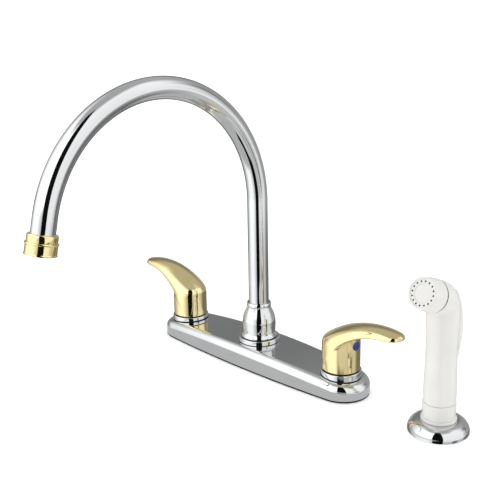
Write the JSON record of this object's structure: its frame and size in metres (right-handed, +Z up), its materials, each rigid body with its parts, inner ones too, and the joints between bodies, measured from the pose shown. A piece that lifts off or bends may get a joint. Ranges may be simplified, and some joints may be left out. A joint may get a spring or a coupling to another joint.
{
  "type": "two handle faucet",
  "caption": "Two-handle kitchen faucet with a crowned deck plate, a swivelling gooseneck spout, lever handles and a pull-up side sprayer with a thumb trigger.",
  "frame": {"origin": "the spout's axis at the deck surface, on the underside of the base gasket", "axes": "+X to the cold handle and the sprayer, -Y to the user, +Z up"},
  "size_m": [0.3942, 0.2667, 0.3405],
  "materials": {
    "chrome": "polished",
    "polished_brass": "polished",
    "raw_brass": "machined",
    "white_plastic": "moulded",
    "black_rubber": "matt",
    "ceramic": "lapped",
    "steel": "brushed",
    "nylon": "moulded",
    "red_plastic": "moulded",
    "blue_plastic": "moulded"
  },
  "bodies": {
    "base": {"base_gasket": "black_rubber", "cold_bonnet": "raw_brass", "cold_cartridge_cage": "nylon", "cold_crossover_tube": "raw_brass", "cold_fixed_disc": "ceramic", "cold_lever_ring": "chrome", "cold_seat_seal": "black_rubber", "cold_valve_body": "raw_brass", "deck_plate": "chrome", "diverter_housing": "nylon", "hot_bonnet": "raw_brass", "hot_cartridge_cage": "nylon", "hot_crossover_tube": "raw_brass", "hot_fixed_disc": "ceramic", "hot_lever_ring": "chrome", "hot_seat_seal": "black_rubber", "hot_valve_body": "raw_brass", "mounting_nuts": "raw_brass", "mounting_washers": "steel", "spout_bearing_ring": "nylon", "spout_body": "raw_brass", "spout_nut": "chrome", "spout_ring": "chrome", "sprayer_flange": "chrome", "sprayer_guide": "white_plastic", "sprayer_nut": "white_plastic"},
    "spout": {"spout_tube": "chrome", "spout_collar": "raw_brass", "spout_seals": "black_rubber", "spout_end_collar": "polished_brass", "aerator_housing": "polished_brass", "aerator_insert": "nylon", "aerator_washer": "black_rubber"},
    "hot_handle": {"hot_lever": "polished_brass", "hot_index_button": "red_plastic", "hot_set_screw": "steel", "hot_stem": "raw_brass", "hot_stem_ring": "black_rubber", "hot_moving_disc": "ceramic"},
    "cold_handle": {"cold_lever": "polished_brass", "cold_index_button": "blue_plastic", "cold_set_screw": "steel", "cold_stem": "raw_brass", "cold_stem_ring": "black_rubber", "cold_moving_disc": "ceramic"},
    "diverter": {"diverter_poppet": "nylon"},
    "hose_end": {"sprayer_inlet": "raw_brass"},
    "sprayer": {"sprayer_coupling": "white_plastic", "sprayer_body": "white_plastic", "nozzle_seal": "black_rubber", "nozzle_cap": "white_plastic", "nozzle_face": "white_plastic", "trigger_pin": "steel", "spray_valve_spring": "steel"},
    "trigger": {"spray_trigger": "white_plastic"},
    "spray_valve": {"spray_valve_stem": "raw_brass", "spray_valve_seal": "black_rubber"}
  },
  "joints": [
    {"name": "spout_swivel", "type": "hinge", "parent": "base", "child": "spout", "pos_m": [0, 0, 0.04], "axis": [0, 0, 1], "continuous": true},
    {"name": "hot_turn", "type": "hinge", "parent": "base", "child": "hot_handle", "pos_m": [-0.1016, 0, 0.03], "axis": [0, 0, 1], "range_deg": [0, 90]},
    {"name": "cold_turn", "type": "hinge", "parent": "base", "child": "cold_handle", "pos_m": [0.1016, 0, 0.03], "axis": [0, 0, -1], "range_deg": [0, 90]},
    {"name": "sprayer_lift", "type": "slide", "parent": "base", "child": "hose_end", "axis": [0, 0, 1], "range_m": [0, 0.12]},
    {"name": "sprayer_swivel", "type": "hinge", "parent": "hose_end", "child": "sprayer", "pos_m": [0.2032, 0, 0.02], "axis": [0, 0, 1], "continuous": true},
    {"name": "trigger_press", "type": "hinge", "parent": "sprayer", "child": "trigger", "pos_m": [0.2032, 0.0025, 0.109], "axis": [-1, 0, 0], "range_deg": [0, 5.5], "stiffness_Nm_per_rad": 1.2, "springref_deg": -6.88},
    {"name": "spray_valve_slide", "type": "slide", "parent": "sprayer", "child": "spray_valve", "axis": [0, -1, 0], "range_m": [0, 0.00327], "deforming": ["spray_valve_spring"]},
    {"name": "diverter_lift", "type": "slide", "parent": "base", "child": "diverter", "axis": [0, 0, 1], "range_m": [0, 0.0031]}
  ],
  "couplings": [
    {"joint": "spray_valve_slide", "follows": "trigger_press", "m_per_rad": 0.033},
    {"joint": "diverter_lift", "follows": "trigger_press", "m_per_rad": 0.03125}
  ]
}
